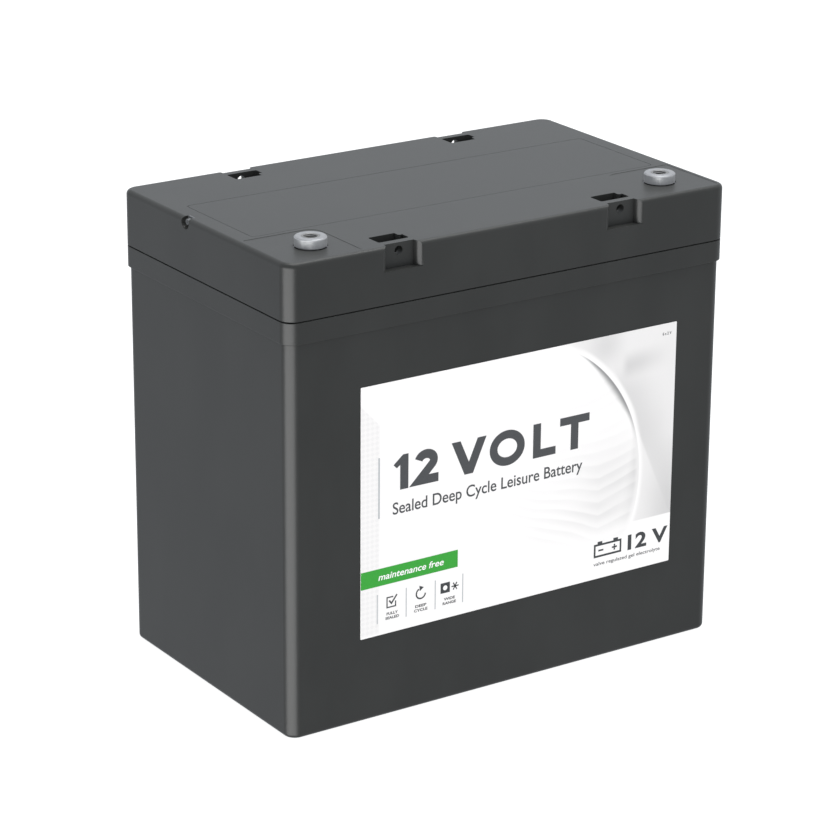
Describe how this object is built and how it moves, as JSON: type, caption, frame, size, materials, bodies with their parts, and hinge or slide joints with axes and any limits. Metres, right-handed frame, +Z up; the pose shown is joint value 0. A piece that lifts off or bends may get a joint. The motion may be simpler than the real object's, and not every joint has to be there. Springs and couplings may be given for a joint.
{
  "type": "deep cycle battery",
  "caption": "Rectangular sealed gel battery with a flat lid, corner screw terminals, handle pockets, a vent port and safety valves under a lift-off cover.",
  "frame": {"origin": "middle of the underside", "axes": "+Z up, +X along the long side, the label on the -Y face and the terminals near it"},
  "size_m": [0.229, 0.138, 0.2173],
  "materials": {
    "container_plastic": "moulded plastic with a soft satin sheen",
    "lid_plastic": "moulded plastic with a soft satin sheen",
    "label_print": "printed film under a clear satin coat",
    "porous_plastic": "sintered, fine-grained",
    "nozzle_plastic": "moulded, matte",
    "terminal_metal": "turned tin-plated lead alloy, satin",
    "insert_brass": "tin-plated brass thread",
    "sealing_resin": "cast resin, glossy",
    "valve_rubber": "moulded rubber, matte",
    "positive_plate": "lead dioxide paste on a lead grid",
    "negative_plate": "spongy lead paste on a lead grid",
    "separator_mat": "ribbed microporous sheet",
    "acid_gel": "set gel, wet",
    "lead_alloy": "cast lead, dull"
  },
  "bodies": {
    "battery": {"case": "container_plastic", "lid": "lid_plastic", "front_label": "label_print", "flame_arrestor": "porous_plastic", "vent_nozzle": "nozzle_plastic", "terminal_positive": "terminal_metal", "terminal_positive_insert": "insert_brass", "terminal_positive_seal": "sealing_resin", "terminal_positive_gasket": "valve_rubber", "terminal_negative": "terminal_metal", "terminal_negative_insert": "insert_brass", "terminal_negative_seal": "sealing_resin", "terminal_negative_gasket": "valve_rubber", "cell_1_positive_plates": "positive_plate", "cell_1_negative_plates": "negative_plate", "cell_1_separators": "separator_mat", "cell_1_gel": "acid_gel", "cell_2_positive_plates": "positive_plate", "cell_2_negative_plates": "negative_plate", "cell_2_separators": "separator_mat", "cell_2_gel": "acid_gel", "cell_3_positive_plates": "positive_plate", "cell_3_negative_plates": "negative_plate", "cell_3_separators": "separator_mat", "cell_3_gel": "acid_gel", "cell_4_positive_plates": "positive_plate", "cell_4_negative_plates": "negative_plate", "cell_4_separators": "separator_mat", "cell_4_gel": "acid_gel", "cell_5_positive_plates": "positive_plate", "cell_5_negative_plates": "negative_plate", "cell_5_separators": "separator_mat", "cell_5_gel": "acid_gel", "cell_6_positive_plates": "positive_plate", "cell_6_negative_plates": "negative_plate", "cell_6_separators": "separator_mat", "cell_6_gel": "acid_gel", "intercell_weld_1": "lead_alloy", "intercell_weld_2": "lead_alloy", "intercell_weld_3": "lead_alloy", "intercell_weld_4": "lead_alloy", "intercell_weld_5": "lead_alloy"},
    "vent_cover": {"vent_cover": "lid_plastic"},
    "valve_cap_1": {"valve_cap_1": "valve_rubber"},
    "valve_cap_2": {"valve_cap_2": "valve_rubber"},
    "valve_cap_3": {"valve_cap_3": "valve_rubber"},
    "valve_cap_4": {"valve_cap_4": "valve_rubber"},
    "valve_cap_5": {"valve_cap_5": "valve_rubber"},
    "valve_cap_6": {"valve_cap_6": "valve_rubber"}
  },
  "joints": [
    {"name": "vent_cover_lift", "type": "slide", "parent": "battery", "child": "vent_cover", "axis": [0, 0, 1], "range_m": [0, 0.03]},
    {"name": "valve_cap_1_lift", "type": "slide", "parent": "battery", "child": "valve_cap_1", "axis": [0, 0, 1], "range_m": [0, 0.001], "stiffness_N_per_m": 400, "springref_m": -0.001},
    {"name": "valve_cap_2_lift", "type": "slide", "parent": "battery", "child": "valve_cap_2", "axis": [0, 0, 1], "range_m": [0, 0.001], "stiffness_N_per_m": 400, "springref_m": -0.001},
    {"name": "valve_cap_3_lift", "type": "slide", "parent": "battery", "child": "valve_cap_3", "axis": [0, 0, 1], "range_m": [0, 0.001], "stiffness_N_per_m": 400, "springref_m": -0.001},
    {"name": "valve_cap_4_lift", "type": "slide", "parent": "battery", "child": "valve_cap_4", "axis": [0, 0, 1], "range_m": [0, 0.001], "stiffness_N_per_m": 400, "springref_m": -0.001},
    {"name": "valve_cap_5_lift", "type": "slide", "parent": "battery", "child": "valve_cap_5", "axis": [0, 0, 1], "range_m": [0, 0.001], "stiffness_N_per_m": 400, "springref_m": -0.001},
    {"name": "valve_cap_6_lift", "type": "slide", "parent": "battery", "child": "valve_cap_6", "axis": [0, 0, 1], "range_m": [0, 0.001], "stiffness_N_per_m": 400, "springref_m": -0.001}
  ]
}
